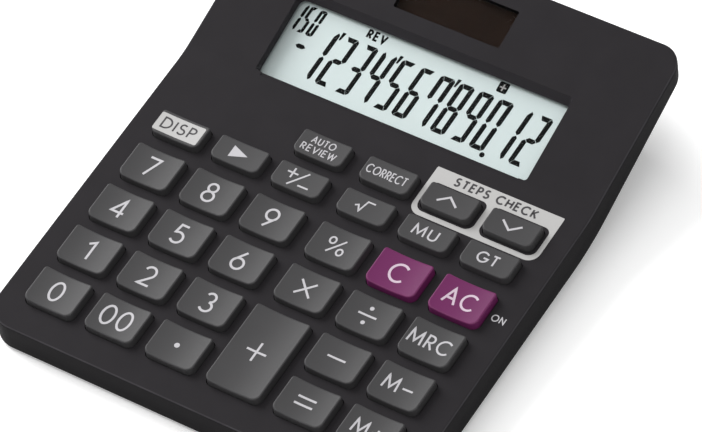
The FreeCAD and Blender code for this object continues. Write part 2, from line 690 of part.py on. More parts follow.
def make_key(name, x, along, width, depth):
    """A key: dished cap with drafted sides, a hollow underneath, a stem and a holding flange."""
    piece = Piece(name, frame_on("keys", x, along))
    flange_level = ("0", "0", "-flange_top", "0")
    cap = rounded_box(piece.sketch(flange_level), width, depth, "cap_corner", "cap_rear_corner")
    piece.pad(cap, "flange_top + cap_height", taper="-cap_draft")
    sag = "low_dish_depth" if depth == "low_cap_depth" else "dish_depth"
    radius = f"((({width})/2 + dish_margin)^2 + {sag}^2)/(2*{sag})"
    dish = discs(piece.sketch(role="XZ_Plane"), radius, [("0", f"cap_height - {sag} + {radius}")])
    piece.pocket(dish, f"{depth} + {MARGIN}", both=True)
    above_panel = value("cap_height - 2*dish_depth")
    piece.soften("Fillet", "cap_round", lambda edge: edge.BoundBox.ZMin > above_panel)
    flange = piece.sketch(flange_level)
    rounded_box(flange, f"{width} + 2*flange_margin", f"{depth} + 2*flange_margin",
                "cap_corner + flange_margin", "cap_rear_corner + flange_margin")
    piece.pad(flange, "flange_thickness", reverse=True)
    underside = ("0", "0", "-flange_top - flange_thickness", "0")
    hollow = rounded_box(piece.sketch(underside), f"{width} - 2*cap_wall", f"{depth} - 2*cap_wall",
                         "cap_corner - cap_wall")
    piece.pocket(hollow, "flange_top + flange_thickness + cap_roof", reverse=True)
    stem = discs(piece.sketch(underside), "stem_radius", [("0", "0")])
    piece.pad(stem, f"flange_top + flange_thickness + cap_roof + {OVERLAP}")
    return piece.body


def make_key_mat():
    """Rubber sheet with a solid dome under every key, pierced by the board posts."""
    piece = Piece("key_mat", frame_on("keys"))
    length = "(board_rear - board_front - 3)"
    middle = ("0", "((board_front + board_rear)/2 - 0.5)")
    base = ("0", "0", f"-{BOARD_TOP} + {FIT}/2", "0")
    rubber = rounded_box(piece.sketch(base), "board_width - 1", length, "board_corner", centre=middle)
    piece.pad(rubber, f"mat_thickness - {FIT}/2")
    domes = piece.sketch(("0", "0", f"-mat_top - {FIT}", "0"))
    discs(domes, "dome_radius", [(x, along) for name, x, along, width, depth in key_places()])
    taper = "-atan((dome_radius - dome_tip_radius)/dome_height)"
    piece.pad(domes, f"dome_height + {FIT}", taper=taper)
    holes = piece.sketch(("0", "0", f"-{BOARD_TOP}", "0"))
    discs(holes, "post_radius + mat_hole_extra", BOARD_POSTS)
    piece.pocket(holes, "2*mat_thickness", reverse=True)
    return piece.body


def make_main_board():
    """Circuit board that carries the key contacts, screwed up against the posts."""
    piece = Piece("main_board", frame_on("keys"))
    middle = ("0", "((board_front + board_rear)/2)")
    outline = rounded_box(piece.sketch(("0", "0", f"-{BOARD_BOTTOM}", "0")), "board_width",
                          "(board_rear - board_front)", "board_corner", centre=middle)
    piece.pad(outline, f"board_thickness - {FIT}/2")
    holes = piece.sketch(("0", "0", f"-{BOARD_BOTTOM}", "0"))
    discs(holes, "screw_radius + hole_extra", BOARD_POSTS)
    piece.pocket(holes, "2*board_thickness", reverse=True)
    return piece.body


def make_plate(name, width, front, rear, top, thickness, corner="plate_corner"):
    """A flat plate under the display plane, by its edges and the depth of its top."""
    piece = Piece(name, frame_on("display", out=f"-({top}) - ({thickness})"))
    middle = ("0", f"((({front}) + ({rear}))/2)")
    outline = rounded_box(piece.sketch(), width, f"(({rear}) - ({front}))", corner, centre=middle)
    piece.pad(outline, thickness)
    return piece


def make_display_parts():
    """Clear lens, liquid-crystal glass, reflector, bracket and the flat cable to the board."""
    width = "(window_width + 2*lens_margin)"
    front = "(window_front - lens_margin)"
    rear = "(window_rear - rear_bevel + 2*lens_margin)"
    make_plate("display_lens", width, front, rear, f"window_depth + {FIT}/2", "lens_thickness")
    make_plate("display_glass", width, front, rear, "glass_top", "glass_thickness")
    make_plate("display_reflector", f"{width} - 1", "reflector_front", f"{rear} - 0.5",
               f"{GLASS_BOTTOM} + {FIT}/2", "reflector_thickness")
    bracket = make_plate("display_bracket", "bracket_width", "bracket_front", "bracket_rear",
                         f"{GLASS_BOTTOM} + bracket_gap", "bracket_thickness", "bracket_corner")
    middle = ("0", "((bracket_front + bracket_rear)/2)")
    opening = rounded_box(bracket.sketch(), "bracket_opening_width", "bracket_opening_depth",
                          "bracket_corner", centre=middle)
    bracket.pocket(opening, "2*bracket_thickness", reverse=True)
    holes = discs(bracket.sketch(), "screw_radius + hole_extra", DISPLAY_POSTS)
    bracket.pocket(holes, "2*bracket_thickness", reverse=True)

    cable = Piece("display_cable")
    route = [("keys", "cable_start", BOARD_BOTTOM), ("keys", "cable_leave", BOARD_BOTTOM),
             ("display", "cable_arrive", GLASS_BOTTOM), ("display", "cable_end", GLASS_BOTTOM)]
    upper = [frame_on(plane, along=along, out=f"-({depth} + {FIT}/2)") for plane, along, depth in route]
    lower = [frame_on(plane, along=along, out=f"-({depth} + {FIT}/2 + cable_thickness)")
             for plane, along, depth in reversed(route)]
    ribbon = polygon(cable.sketch(role="YZ_Plane"), [spot[1:3] for spot in upper + lower])
    cable.pad(ribbon, "cable_width", both=True)


def make_solar_parts():
    """Clear stepped cover, the dark cell behind it and the foam pad that holds the cell."""
    opening = "(solar_rear - solar_front)"
    cover = Piece("solar_window", frame_on("display", along=SOLAR_MIDDLE))
    proud = rounded_box(cover.sketch(("0", "0", f"-top_wall - {FIT}", "0")), f"solar_width - {2 * FIT}",
                        f"{opening} - {2 * FIT}", f"solar_corner - {FIT}")
    cover.pad(proud, f"top_wall + {FIT} - solar_recess")
    flange = rounded_box(cover.sketch(("0", "0", f"-top_wall - {FIT}/2", "0")),
                         "solar_width + 2*solar_flange", f"{opening} + 2*solar_flange", "flange_corner")
    cover.pad(flange, "solar_flange_thickness", reverse=True)
    width, front, rear = "solar_width + solar_flange", "(solar_front - 1)", "(solar_rear + 1)"
    make_plate("solar_cell", width, front, rear, "cell_depth", "cell_thickness")
    make_plate("solar_pad", width, front, rear, "pad_depth", "pad_thickness")


def make_board_parts():
    """Epoxy-covered controller, capacitor, and the button cell between its two contacts."""
    under = f"-{BOARD_BOTTOM} - {FIT}/2"
    blob = Piece("controller_cover", frame_on("keys", *CONTROLLER_SPOT, under))
    blob.turn("Revolution", polygon(blob.sketch(role="XZ_Plane"), CONTROLLER_PROFILE))
    capacitor = Piece("storage_capacitor", frame_on("keys", *CAPACITOR_SPOT, under))
    barrel = discs(capacitor.sketch(), "capacitor_radius", [("0", "0")])
    capacitor.pad(barrel, "capacitor_height", reverse=True)

    upper = Piece("battery_contact_upper", frame_on("keys", *BATTERY_SPOT, under))
    plate = rounded_box(upper.sketch(), "contact_width", "contact_depth", "contact_corner")
    upper.pad(plate, "contact_thickness", reverse=True)
    cell = Piece("battery_cell", frame_on("keys", *BATTERY_SPOT, f"{under} - battery_drop"))
    cell.pad(discs(cell.sketch(), "battery_radius", [("0", "0")]), "battery_height", reverse=True)
    cell.soften("Fillet", "battery_round", lambda edge: not upright(edge))
    strap = Piece("battery_contact_lower", frame_on("keys", *BATTERY_SPOT, under))
    right_side = [("clip_reach", "-clip_drop"), ("clip_reach", "0"), ("clip_foot", "0"),
                  ("clip_foot", "-contact_thickness"),
                  ("(clip_reach + contact_thickness)", "-contact_thickness"),
                  ("(clip_reach + contact_thickness)", "(-clip_drop - contact_thickness)")]
    left_side = [(f"-{x}", z) for x, z in reversed(right_side)]
    clip = polygon(strap.sketch(role="XZ_Plane"), right_side + left_side)
    strap.pad(clip, "clip_width", both=True)


def make_screws(name, frame, spots, shank_length):
    """A group of slotted round-headed screws with their heads down and their shanks up."""
    piece = Piece(name, frame)
    piece.pad(discs(piece.sketch(), "screw_head_radius", spots), "screw_head_height", reverse=True)
    shanks = discs(piece.sketch(("0", "0", f"-{OVERLAP}", "0")), "screw_radius", spots)
    piece.pad(shanks, f"{shank_length} + {OVERLAP}")
    slots = piece.sketch(("0", "0", "-screw_head_height", "0"))
    for spot in spots:
        rounded_box(slots, "slot_length", "slot_width", "slot_corner", centre=spot)
    piece.pocket(slots, "screw_head_height/2", reverse=True)


def make_fasteners():
    """The screws of the board and of the display bracket."""
    under_board = frame_on("keys", out=f"-{BOARD_BOTTOM} - {FIT}/2")
    make_screws("board_screws", under_board, BOARD_POSTS, "board_screw_length")
    under_bracket = frame_on("display", out=f"-{GLASS_BOTTOM} - bracket_gap - bracket_thickness - {FIT}/2")
    make_screws("display_screws", under_bracket, DISPLAY_POSTS, "display_screw_length")


def make_case_screws():
    """Case screws of one kind, each standing at its own seat height."""
    piece = Piece("case_screws")
    for x, y, seat, joint in CASE_SCREWS:
        spot = [(str(x), str(y))]
        top = seat - FIT / 2
        head = discs(piece.sketch(("0", "0", str(top), "0")), str(CASE_HEAD_RADIUS), spot)
        piece.pad(head, str(CASE_HEAD_HEIGHT), reverse=True)
        reach = pilot_depth(y, joint) - CASE_PILOT_ROOM
        shank = discs(piece.sketch(("0", "0", str(top - OVERLAP), "0")), str(CASE_SHANK_RADIUS), spot)
        piece.pad(shank, str(joint + reach - top))
        slot = piece.sketch(("0", "0", str(top - CASE_HEAD_HEIGHT), "0"))
        rounded_box(slot, str(CASE_SLOT_LENGTH), str(CASE_SLOT_WIDTH), "slot_corner", centre=spot[0])
        piece.pocket(slot, str(CASE_HEAD_HEIGHT / 2), reverse=True)


def make_feet():
    """Rubber discs let into the front corners and the stand."""
    piece = Piece("rubber_feet")
    for x, y in FEET:
        disc = discs(piece.sketch(), "foot_radius", [(str(x), str(y))])
        piece.pad(disc, str(foot_base(y) + FOOT_SEAT - FIT / 2))
    piece.soften("Fillet", "foot_round", lambda edge: edge.BoundBox.ZMax < 0.01)


def round_wire(name, radius, route):
    """An insulated lead: straight runs along a route, joined by arcs as large as the runs allow."""
    spots = [Vector(value(x), value(y), value(z)) for x, y, z, tilt in route]
    edges = []
    start = spots[0]
    for before, corner, after in zip(spots, spots[1:], spots[2:]):
        to_before, to_after = (before - corner), (after - corner)
        reach = LEAD_BEND * min(to_before.Length, to_after.Length)
        first = corner + to_before.normalize() * reach
        last = corner + to_after.normalize() * reach
        half_turn = (math.pi - to_before.getAngle(to_after)) / 2
        bend_radius = reach / math.tan(half_turn)
        centre = corner + (to_before + to_after).normalize() * (bend_radius / math.cos(half_turn))
        middle = centre + (corner - centre).normalize() * bend_radius
        edges.append(Part.LineSegment(start, first).toShape())
        edges.append(Part.Arc(first, middle, last).toShape())
        start = last
        print(f"{name}: bend radius {bend_radius:.1f}")
    edges.append(Part.LineSegment(start, spots[-1]).toShape())
    path = Part.Wire(edges)
    ring = Part.Wire([Part.Circle(spots[0], spots[1] - spots[0], radius).toShape()])
    lead = doc.addObject("Part::Feature", name)
    lead.Label = name
    lead.Shape = path.makePipeShell([ring], True, False)
    volume = math.pi * radius ** 2 * path.Length
    if abs(lead.Shape.Volume - volume) > 0.02 * volume:
        raise RuntimeError(f"{name} is not a whole tube")
    return lead


def make_leads():
    """The solar cell's two leads, from its pad down under the display to the board."""
    for name, side in (("solar_lead_positive", 1), ("solar_lead_negative", -1)):
        route = [frame_on(plane, f"{side}*{x}", along, out) for plane, x, along, out in LEAD_ROUTE]
        round_wire(name, LEAD_RADIUS, route)


make_upper_case()
make_lower_case()
for key in key_places():
    make_key(*key)
make_key_mat()
make_main_board()
make_display_parts()
make_solar_parts()
make_board_parts()
make_fasteners()
make_case_screws()
make_feet()
make_leads()


def write_parts():
    """Refuse a broken document, then write every piece to a file named after it."""
    doc.recompute()
    broken = [item.Name for item in doc.Objects if {"Invalid", "Error"} & set(item.State)]
    if broken:
        raise RuntimeError(f"failed features: {broken}")
    os.makedirs("parts", exist_ok=True)
    pieces = [item for item in doc.Objects if item.TypeId in ("PartDesign::Body", "Part::Feature")]
    for item in pieces:
        if item.Shape.isNull() or not item.Shape.isValid() or item.Shape.Volume <= 0:
            raise RuntimeError(f"{item.Label} is not a sound solid")
        item.Shape.exportStep(f"parts/{item.Label}.step")
    print(f"{len(pieces)} pieces written")


write_parts()
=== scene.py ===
"""Looks of the desk calculator: materials, key legends, panel print, display figures, light and camera.

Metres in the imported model's frame: +Z up, +Y from the front key row towards the display.
Lengths written in millimetres are multiplied by MM where they are used.
"""
import json
import math

import bpy
from mathutils import Matrix, Vector


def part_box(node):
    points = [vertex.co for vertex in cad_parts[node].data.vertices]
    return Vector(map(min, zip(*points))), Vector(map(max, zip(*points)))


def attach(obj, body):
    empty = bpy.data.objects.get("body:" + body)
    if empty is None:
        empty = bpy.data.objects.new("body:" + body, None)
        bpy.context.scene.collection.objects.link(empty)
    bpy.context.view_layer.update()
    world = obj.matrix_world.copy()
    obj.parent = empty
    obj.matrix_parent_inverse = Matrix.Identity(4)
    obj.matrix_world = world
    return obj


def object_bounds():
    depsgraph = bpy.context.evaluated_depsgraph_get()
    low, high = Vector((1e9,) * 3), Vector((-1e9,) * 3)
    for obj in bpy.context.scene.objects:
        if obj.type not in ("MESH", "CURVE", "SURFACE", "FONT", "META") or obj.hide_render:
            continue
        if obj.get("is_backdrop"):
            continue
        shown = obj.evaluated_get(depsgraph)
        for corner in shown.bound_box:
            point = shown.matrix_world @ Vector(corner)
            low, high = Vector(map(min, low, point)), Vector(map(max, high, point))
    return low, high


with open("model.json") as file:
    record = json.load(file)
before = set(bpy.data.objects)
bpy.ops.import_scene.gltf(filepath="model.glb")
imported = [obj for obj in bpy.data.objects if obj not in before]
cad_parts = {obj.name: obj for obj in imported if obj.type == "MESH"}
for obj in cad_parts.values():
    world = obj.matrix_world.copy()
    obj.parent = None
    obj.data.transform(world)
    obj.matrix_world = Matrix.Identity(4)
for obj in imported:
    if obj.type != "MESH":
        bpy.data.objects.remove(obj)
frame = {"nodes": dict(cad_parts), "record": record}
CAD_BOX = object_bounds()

MM = 0.001

# The two planes of the case top, and the keys that stand on the first of them.
KEY_TILT = math.radians(3.0)
DISPLAY_TILT = math.radians(14.9)
FRONT_HEIGHT = 10.0
BEND_DISTANCE = 96.3
CAP_HEIGHT = 2.45        # a key's rim above the panel
DISH_DEPTH = 0.75        # and how far its middle is hollowed out below the rim
LOW_DISH_DEPTH = 0.3
LOW_DEPTH = 10.5         # keys that measure less than this up the slope are low ones
DISH_MARGIN = 0.3        # how far a dish would reach past its cap's sides
RECESS_WALL_PAINTED_LIGHT = 2.0       # painted light on the display recess's walls, as a share of the shell's colour
FLANGE_MARGIN = 0.7      # how far a key's hidden flange reaches past its cap
GLASS_TOP = 4.3          # depth of the liquid-crystal glass under the display plane

# Printing.
INK = 0.02               # thickness of printed ink
SINK = 0.01              # how far ink reaches into what it is printed on
STEP = 0.4               # longest straight stretch of a printed line that follows a dish
ARC_STEP = 12.0          # degrees between the points of a drawn arc
LEGEND_SHIFT = (-0.37, -0.05)  # middle of a legend from the middle of its key
PATCH_SHIFT = (-0.27, -0.15)


class Plane:
    """A sloping face. Its points are given across, up the slope and out of the face, in millimetres."""

    def __init__(self, tilt, origin):
        self.origin = origin
        self.up = Vector((0, math.cos(tilt), math.sin(tilt)))
        self.out = Vector((0, -math.sin(tilt), math.cos(tilt)))

    def at(self, x, along, out=0.0):
        return self.origin + Vector((x * MM, 0, 0)) + self.up * along * MM + self.out * out * MM

    def along(self, point):
        return (point - self.origin).dot(self.up) / MM


front_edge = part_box("upper_case")[0].y
KEY_PLANE = Plane(KEY_TILT, Vector((0, front_edge, FRONT_HEIGHT * MM)))
DISPLAY_PLANE = Plane(DISPLAY_TILT, KEY_PLANE.at(0, BEND_DISTANCE))


def key_centre(name):
    """Middle of a key, across and up the key plane."""
    low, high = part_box(name)
    middle = (low + high) / 2
    return middle.x / MM, KEY_PLANE.along(middle)


def dish_of(name):
    """Depth and radius of the hollow in a key's top."""
    low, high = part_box(name)
    depth = LOW_DISH_DEPTH if (high - low).y < LOW_DEPTH * MM else DISH_DEPTH
    half_chord = (high - low).x / MM / 2 - FLANGE_MARGIN + DISH_MARGIN
    return depth, (half_chord ** 2 + depth ** 2) / (2 * depth)


def on_key(name, shift=(0.0, 0.0), lift=0.0):
    """A function that puts a drawing's points on a key's hollow top, with its zero in the middle."""
    centre_x, centre_along = key_centre(name)
    depth, radius = dish_of(name)

    def place(x, y, out):
        across = x + shift[0]
        height = CAP_HEIGHT - depth + radius - math.sqrt(radius ** 2 - across ** 2)
        return KEY_PLANE.at(centre_x + across, centre_along + y + shift[1], height + lift + out)

    return place


# ---------------------------------------------------------------- materials

def new_material(name):
    """A material with its Principled shader and the object's own coordinates."""
    material = bpy.data.materials.new(name)
    material.use_nodes = True
    tree = material.node_tree
    shader = tree.nodes["Principled BSDF"]
    coordinates = tree.nodes.new("ShaderNodeTexCoord").outputs["Object"]
    return material, tree, shader, coordinates


def noise(tree, coordinates, size, detail=2.0):
    """Noise whose blotches are about size millimetres across, from 0 to 1."""
    texture = tree.nodes.new("ShaderNodeTexNoise")
    texture.inputs["Scale"].default_value = 1 / (size * MM)
    texture.inputs["Detail"].default_value = detail
    tree.links.new(coordinates, texture.inputs["Vector"])
    return texture.outputs["Fac"]


def spread(tree, value, low, high):
    """The middle of a noise value, stretched to run from low to high."""
    span = tree.nodes.new("ShaderNodeMapRange")
    for socket, number in (("From Min", 0.3), ("From Max", 0.7), ("To Min", low), ("To Max", high)):
        span.inputs[socket].default_value = number
    tree.links.new(value, span.inputs["Value"])
    return span.outputs["Result"]


def tint(tree, value, colour, variation):
    """A colour made darker and lighter by a share of itself where the value is low and high."""
    mix = tree.nodes.new("ShaderNodeMix")
    mix.data_type = "RGBA"
    tree.links.new(value, mix.inputs["Factor"])
    mix.inputs["A"].default_value = [c * (1 - variation) for c in colour] + [1]
    mix.inputs["B"].default_value = [c * (1 + variation) for c in colour] + [1]
    return mix.outputs["Result"]


def rise(tree, value, depth):
    """Surface relief whose height is the value times depth millimetres."""
    bump = tree.nodes.new("ShaderNodeBump")
    bump.inputs["Distance"].default_value = depth * MM
    tree.links.new(value, bump.inputs["Height"])
    return bump.outputs["Normal"]


def ramp(tree, value, start, end):
    """0 up to one value and 1 from another, with a straight rise between them."""
    rise_between = tree.nodes.new("ShaderNodeMapRange")
    rise_between.inputs["From Min"].default_value = start
    rise_between.inputs["From Max"].default_value = end
    tree.links.new(value, rise_between.inputs["Value"])
    return rise_between.outputs["Result"]


def product(tree, first, second):
    times = tree.nodes.new("ShaderNodeMath")
    times.operation = "MULTIPLY"
    tree.links.new(first, times.inputs[0])
    tree.links.new(second, times.inputs[1])
    return times.outputs["Value"]


def upwardness(tree):
    """1 on faces that look straight up and 0 on upright ones."""
    split = tree.nodes.new("ShaderNodeSeparateXYZ")
    tree.links.new(tree.nodes.new("ShaderNodeNewGeometry").outputs["Normal"], split.inputs["Vector"])
    return split.outputs["Z"]


def uprightness(tree):
    """1 on walls and 0 on faces that look up."""
    return ramp(tree, upwardness(tree), 0.75, 0.25)


def painted_edge_highlight(tree, coordinates):
    """1 along the rounded top edges, which get a painted highlight in patches, and 0 on flat faces and
    walls.
    """
    up = upwardness(tree)
    band = product(tree, ramp(tree, up, 0.40, 0.65), ramp(tree, up, 0.96, 0.88))
    return product(tree, band, spread(tree, noise(tree, coordinates, 5.0), 0.65, 1.0))


def blended(tree, factor, first, second):
    """The first colour where the factor is 0 and the second, a constant, where it is 1."""
    mix = tree.nodes.new("ShaderNodeMix")
    mix.data_type = "RGBA"
    tree.links.new(factor, mix.inputs["Factor"])
    tree.links.new(first, mix.inputs["A"])
    mix.inputs["B"].default_value = [*second, 1]
    return mix.outputs["Result"]


def within(tree, coordinates, piece, margin):
    """1 inside the outline of a piece as seen from above, widened by a margin, and 0 beyond it."""
    low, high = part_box(piece)
    split = tree.nodes.new("ShaderNodeSeparateXYZ")
    tree.links.new(coordinates, split.inputs["Vector"])
    edges = (("X", low.x, -1), ("X", high.x, 1), ("Y", low.y, -1), ("Y", high.y, 1))
    sides = [ramp(tree, split.outputs[axis], edge + outward * 2 * margin, edge + outward * margin)
             for axis, edge, outward in edges]
    return product(tree, product(tree, sides[0], sides[1]), product(tree, sides[2], sides[3]))


def moulded(name, colour, rough, grain=0.22, relief=0.012, variation=0.05, specular=0.5,
            painted_wall_tone=None, edge_highlight_colour=None, recess=None):
    """Moulded plastic or rubber: faint flow mottling and a fine spark-eroded grain.

    The share given for upright walls sets their tone against the colour: below 1 it is painted
    shade, above 1 painted light. The edge colour given is a painted highlight along the rounded
    top edges. recess names the piece that lies in a recess whose walls get painted light.
    """
    material, tree, shader, coordinates = new_material(name)
    flow = noise(tree, coordinates, 9.0)
    speck = noise(tree, coordinates, grain)
    body = tint(tree, spread(tree, flow, 0, 1), colour, variation)
    # Upright walls get a painted tone: a share below 1 is painted shade and a share above 1 is painted
    # light.
    if painted_wall_tone:
        body = blended(tree, uprightness(tree), body, [c * painted_wall_tone for c in colour])
    # Painted light: the walls of the display's recess are made paler than the shell, as if lit.
    if recess:
        walls = product(tree, uprightness(tree), within(tree, coordinates, recess, MM))
        body = blended(tree, walls, body, [c * RECESS_WALL_PAINTED_LIGHT for c in colour])
    # Painted highlight: a paler colour along the rounded top edges, in patches.
    if edge_highlight_colour:
        body = blended(tree, painted_edge_highlight(tree, coordinates), body, edge_highlight_colour)
    tree.links.new(body, shader.inputs["Base Color"])
    tree.links.new(spread(tree, speck, rough - 0.06, rough + 0.06), shader.inputs["Roughness"])
    tree.links.new(rise(tree, speck, relief), shader.inputs["Normal"])
    shader.inputs["Specular IOR Level"].default_value = specular
    return material


def metal(name, colour, rough, stretch=(1, 14, 1)):
    """Brushed or turned metal: fine lines along one direction."""
    material, tree, shader, coordinates = new_material(name)
    scale = tree.nodes.new("ShaderNodeMapping")
    scale.inputs["Scale"].default_value = stretch
    tree.links.new(coordinates, scale.inputs["Vector"])
    lines = noise(tree, scale.outputs["Vector"], 0.6)
    tree.links.new(tint(tree, lines, colour, 0.12), shader.inputs["Base Color"])
    tree.links.new(spread(tree, lines, rough - 0.08, rough + 0.08), shader.inputs["Roughness"])
    tree.links.new(rise(tree, lines, 0.004), shader.inputs["Normal"])
    shader.inputs["Metallic"].default_value = 1.0
    return material


def printed(name, colour, rough=0.6, specular=0.3):
    """Printing ink: one colour, with the faint orange peel of a pad print."""
    material, tree, shader, coordinates = new_material(name)
    peel = noise(tree, coordinates, 0.15)
    shader.inputs["Base Color"].default_value = [*colour, 1]
    tree.links.new(spread(tree, peel, rough - 0.08, rough + 0.08), shader.inputs["Roughness"])
    tree.links.new(rise(tree, peel, 0.004), shader.inputs["Normal"])
    shader.inputs["Specular IOR Level"].default_value = specular
    return material


def clear_window(name):
    """Thin clear plastic: what is behind it shows through, under a faint gloss."""
    material, tree, shader, coordinates = new_material(name)
    haze = noise(tree, coordinates, 14.0)
    shader.inputs["Base Color"].default_value = (0.02, 0.02, 0.02, 1)
    shader.inputs["Alpha"].default_value = 0.06
    tree.links.new(spread(tree, haze, 0.04, 0.1), shader.inputs["Roughness"])
    shader.inputs["Specular IOR Level"].default_value = 0.25
    return material


def display_glass(name):
    """The display's pale reflective face, with the very fine weave of its polarising film."""
    material, tree, shader, coordinates = new_material(name)
    film = noise(tree, coordinates, 0.12, detail=1.0)
    cloud = noise(tree, coordinates, 30.0)
    colour = (0.62, 0.71, 0.705)
    tree.links.new(tint(tree, spread(tree, cloud, 0, 1), colour, 0.015), shader.inputs["Base Color"])
    tree.links.new(spread(tree, film, 0.42, 0.55), shader.inputs["Roughness"])
    tree.links.new(rise(tree, film, 0.003), shader.inputs["Normal"])
    shader.inputs["Specular IOR Level"].default_value = 0.25
    return material


def solar_film(name):
    """Amorphous silicon: dark brown film, cut into four cells by thin paler lines across the width."""
    material, tree, shader, coordinates = new_material(name)
    low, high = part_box("solar_cell")
    cells = 4
    split = tree.nodes.new("ShaderNodeSeparateXYZ")
    tree.links.new(coordinates, split.inputs["Vector"])
    place = tree.nodes.new("ShaderNodeMapRange")
    place.inputs["From Min"].default_value = low.x
    place.inputs["From Max"].default_value = high.x
    place.inputs["To Max"].default_value = cells
    tree.links.new(split.outputs["X"], place.inputs["Value"])
    line_width = 0.012
    wave = tree.nodes.new("ShaderNodeMath")
    wave.operation = "PINGPONG"
    wave.inputs[1].default_value = 0.5
    tree.links.new(place.outputs["Result"], wave.inputs[0])
    is_line = tree.nodes.new("ShaderNodeMath")
    is_line.operation = "LESS_THAN"
    is_line.inputs[1].default_value = line_width
    tree.links.new(wave.outputs["Value"], is_line.inputs[0])
    cloud = noise(tree, coordinates, 6.0)
    film = tint(tree, spread(tree, cloud, 0, 1), (0.0105, 0.0045, 0.0021), 0.18)
    mix = tree.nodes.new("ShaderNodeMix")
    mix.data_type = "RGBA"
    tree.links.new(is_line.outputs["Value"], mix.inputs["Factor"])
    tree.links.new(film, mix.inputs["A"])
    mix.inputs["B"].default_value = (0.024, 0.014, 0.010, 1)
    tree.links.new(mix.outputs["Result"], shader.inputs["Base Color"])
    tree.links.new(spread(tree, cloud, 0.22, 0.32), shader.inputs["Roughness"])
    shader.inputs["Specular IOR Level"].default_value = 0.01
    return material


def board_mask(name):
    """Solder resist over copper: green, lighter where the copper tracks run beneath it."""
    material, tree, shader, coordinates = new_material(name)
    tracks = tree.nodes.new("ShaderNodeTexBrick")
    tracks.inputs["Scale"].default_value = 1 / (6 * MM)
    tracks.inputs["Mortar Size"].default_value = 0.08
    tracks.inputs["Color1"].default_value = (0.012, 0.09, 0.035, 1)
    tracks.inputs["Color2"].default_value = (0.014, 0.10, 0.04, 1)
    tracks.inputs["Mortar"].default_value = (0.03, 0.17, 0.06, 1)
    tree.links.new(coordinates, tracks.inputs["Vector"])
    tree.links.new(tracks.outputs["Color"], shader.inputs["Base Color"])
    tree.links.new(rise(tree, tracks.outputs["Fac"], 0.03), shader.inputs["Normal"])
    shader.inputs["Roughness"].default_value = 0.35
    return material


MATERIALS = {
    # upper_shell: painted shade on its walls, painted light on the display recess's walls and a painted
    # highlight along its top edges.
    "upper_shell": moulded("upper_shell", (0.0205, 0.0188, 0.0209), 0.6, specular=0.04,
                           painted_wall_tone=0.48, edge_highlight_colour=(0.056, 0.053, 0.058), recess="display_lens"),
    # lower_shell: the shell's plastic made darker as painted shade, to match the upper shell's shaded
    # walls, with a painted highlight along its top edges.
    "lower_shell": moulded("lower_shell", (0.0088, 0.0081, 0.0091), 0.6, specular=0.04,
                           edge_highlight_colour=(0.030, 0.028, 0.031)),
    # Keys: painted light on their side walls and a painted highlight along their top edges.
    "key_grey": moulded("key_grey", (0.044, 0.0430, 0.0445), 0.4, grain=0.16, relief=0.004,
                        variation=0.03, specular=0.16, painted_wall_tone=1.6, edge_highlight_colour=(0.062, 0.061, 0.063)),
    "key_magenta": moulded("key_magenta", (0.128, 0.018, 0.086), 0.4, grain=0.16, relief=0.004,
                           variation=0.03, specular=0.12, painted_wall_tone=1.6, edge_highlight_colour=(0.18, 0.045, 0.12)),
    "key_patch": printed("key_patch", (0.40, 0.395, 0.39), rough=0.5),
    "dome_rubber": moulded("dome_rubber", (0.42, 0.42, 0.40), 0.7, relief=0.004),
    "circuit_board": board_mask("circuit_board"),
    "clear_window": clear_window("clear_window"),
    "display_glass": display_glass("display_glass"),
    "reflector_film": metal("reflector_film", (0.72, 0.74, 0.74), 0.4),
    "bracket_plastic": moulded("bracket_plastic", (0.62, 0.62, 0.60), 0.5),
    "cable_film": moulded("cable_film", (0.36, 0.15, 0.035), 0.35, relief=0.002),
    "solar_cell": solar_film("solar_cell"),
    "foam": moulded("foam", (0.04, 0.04, 0.04), 0.9, grain=0.6, relief=0.15),
    "epoxy": moulded("epoxy", (0.012, 0.012, 0.012), 0.2, grain=2.0, relief=0.05),
    "capacitor_sleeve": moulded("capacitor_sleeve", (0.02, 0.03, 0.12), 0.3, relief=0.002),
    "cell_steel": metal("cell_steel", (0.62, 0.62, 0.61), 0.2),
    "contact_steel": metal("contact_steel", (0.55, 0.54, 0.52), 0.32),
    "screw_steel": metal("screw_steel", (0.42, 0.42, 0.43), 0.35),
    "foot_rubber": moulded("foot_rubber", (0.035, 0.035, 0.036), 0.8, grain=0.3, relief=0.02),
    "wire_red": moulded("wire_red", (0.40, 0.02, 0.02), 0.45, relief=0.002),
    "wire_black": moulded("wire_black", (0.02, 0.02, 0.02), 0.45, relief=0.002),
    "legend_white": printed("legend_white", (0.44, 0.43, 0.45)),
    "legend_pink": printed("legend_pink", (0.52, 0.41, 0.49)),
    "legend_dark": printed("legend_dark", (0.035, 0.033, 0.036)),
    "panel_print": printed("panel_print", (0.40, 0.395, 0.39), rough=0.5),
    "segment_dark": printed("segment_dark", (0.004, 0.005, 0.005), rough=0.6, specular=0.02),
}


def finish_nodes():
    """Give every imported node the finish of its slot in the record."""
    for part in frame["record"]["subparts"]:
        mesh = frame["nodes"][part["node"]].data
        mesh.materials.clear()
        mesh.materials.append(MATERIALS[part["material_slot"]])


# ------------------------------------------------------- lines and lettering

def line(*points):
    return [Vector(point) for point in points]


def arc(x, y, radius_x, radius_y, start, end):
    """Points along an ellipse from one angle to another, in degrees."""
    count = max(2, math.ceil(abs(end - start) / ARC_STEP))
    angles = [math.radians(start + (end - start) * i / count) for i in range(count + 1)]
    return [Vector((x + radius_x * math.cos(a), y + radius_y * math.sin(a))) for a in angles]


